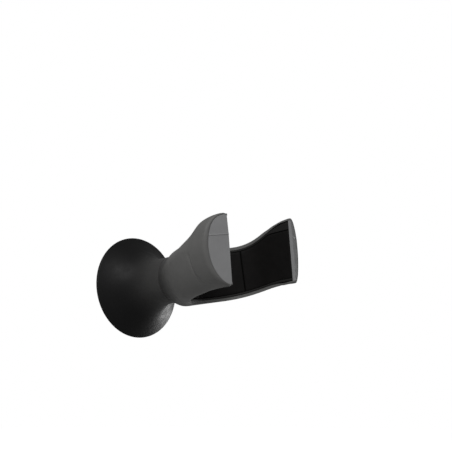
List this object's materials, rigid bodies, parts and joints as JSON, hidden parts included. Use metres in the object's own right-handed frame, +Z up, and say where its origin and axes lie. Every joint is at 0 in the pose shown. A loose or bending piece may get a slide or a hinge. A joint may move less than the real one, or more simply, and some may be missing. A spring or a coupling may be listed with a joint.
{
  "type": "wall guitar hanger",
  "caption": "Wall hanger for a guitar: flared round base and a padded two-armed yoke that swivels on a shoulder bolt.",
  "frame": {"origin": "centre of the three wall screw holes, on the wall plate's back face, where the swivel axis meets the wall", "axes": "+Y into the wall along the swivel axis, +Z up, +X to the right seen from in front; the arms point along -Y"},
  "size_m": [0.0901, 0.125, 0.074],
  "materials": {
    "zinc_steel": "zinc-plated sheet steel",
    "turned_aluminium": "turned aluminium",
    "screw_steel": "plated screw steel",
    "black_oxide_steel": "black oxide bolt steel",
    "spring_steel": "blued spring steel",
    "acetal": "natural acetal",
    "cover_black": "satin moulded black",
    "shell_grey": "satin moulded dark grey",
    "liner_grey": "fine moulded texture, dark grey",
    "cap_grey": "satin mid grey",
    "pad_black": "soft matte elastomer",
    "cast_alloy": "as-cast alloy with a steel strip",
    "bush_bronze": "sintered bronze"
  },
  "bodies": {
    "wall_base": {"wall_plate": "zinc_steel", "pivot_post": "turned_aluminium", "post_screws": "screw_steel", "shoulder_bolt": "black_oxide_steel", "stop_pin": "screw_steel", "rear_washer": "acetal", "front_washer": "screw_steel", "disc_spring": "spring_steel", "flared_cover": "cover_black", "cover_clip": "spring_steel"},
    "yoke": {"yoke_core": "cast_alloy", "rear_bush": "bush_bronze", "front_bush": "bush_bronze", "left_shell": "shell_grey", "right_shell": "shell_grey", "left_liner": "liner_grey", "right_liner": "liner_grey", "left_front_cap": "cap_grey", "right_front_cap": "cap_grey", "left_pad": "pad_black", "right_pad": "pad_black", "throat_pad": "pad_black", "bolt_cover": "liner_grey", "shell_screws": "screw_steel"}
  },
  "joints": [
    {"name": "yoke_swivel", "type": "hinge", "parent": "wall_base", "child": "yoke", "pos_m": [0, -0.05, 0], "axis": [0, -1, 0], "range_deg": [-41, 19]}
  ]
}
